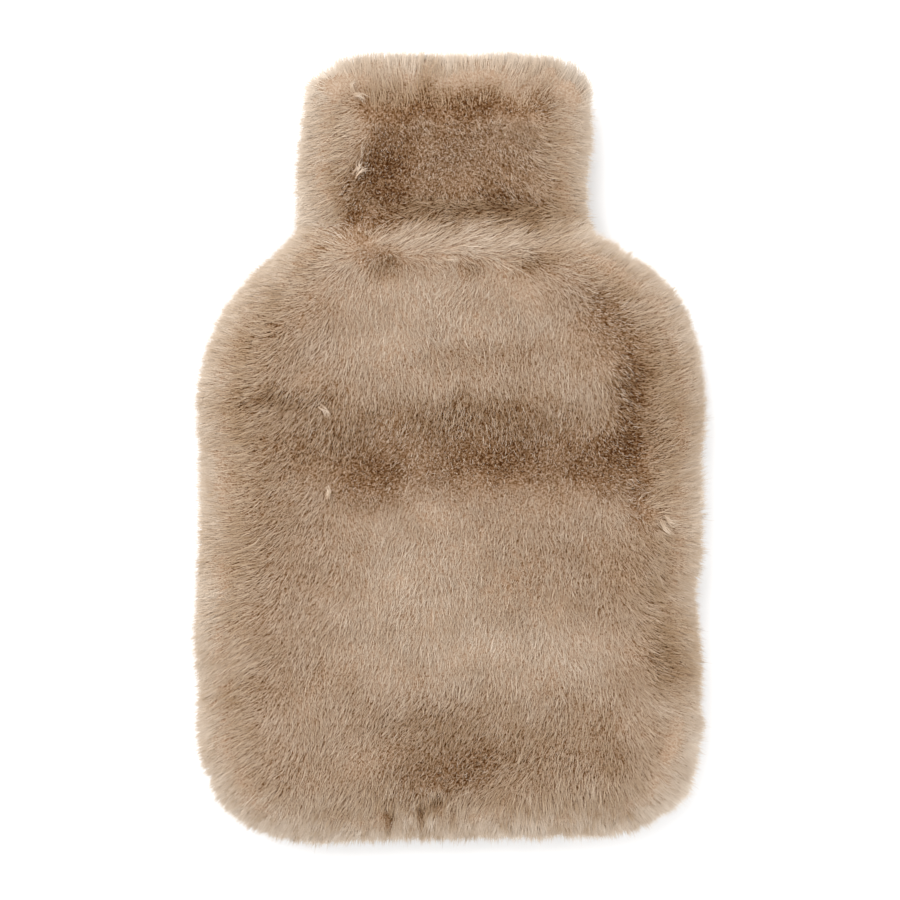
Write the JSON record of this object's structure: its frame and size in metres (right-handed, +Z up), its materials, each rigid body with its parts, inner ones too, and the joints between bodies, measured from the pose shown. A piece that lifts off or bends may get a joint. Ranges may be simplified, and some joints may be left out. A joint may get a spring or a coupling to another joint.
{
  "type": "hot water bottle cover",
  "caption": "Bottle-shaped pouch of long-pile cloth, lying flat on its back, hollow for a hot water bottle and open at the top of its neck.",
  "frame": {"origin": "on the floor, under the middle of the cover's bounding box", "axes": "+Y along the cover towards its open neck, +X to the right seen from above, +Z up out of its front"},
  "size_m": [0.2398, 0.3706, 0.0545],
  "materials": {
    "front_pile": "dense soft taupe pile about 15 mm long, paler at its tips",
    "back_pile": "the same pile, pressed flat underneath",
    "rim_pile": "the same pile standing out along the seam, paler",
    "mouth_pile": "the same pile standing up round the open neck, palest"
  },
  "bodies": {
    "root": {"front_panel": "front_pile", "back_panel": "back_pile", "rim_locks": "rim_pile", "front_mouth_locks": "mouth_pile", "back_mouth_locks": "mouth_pile"}
  },
  "joints": []
}
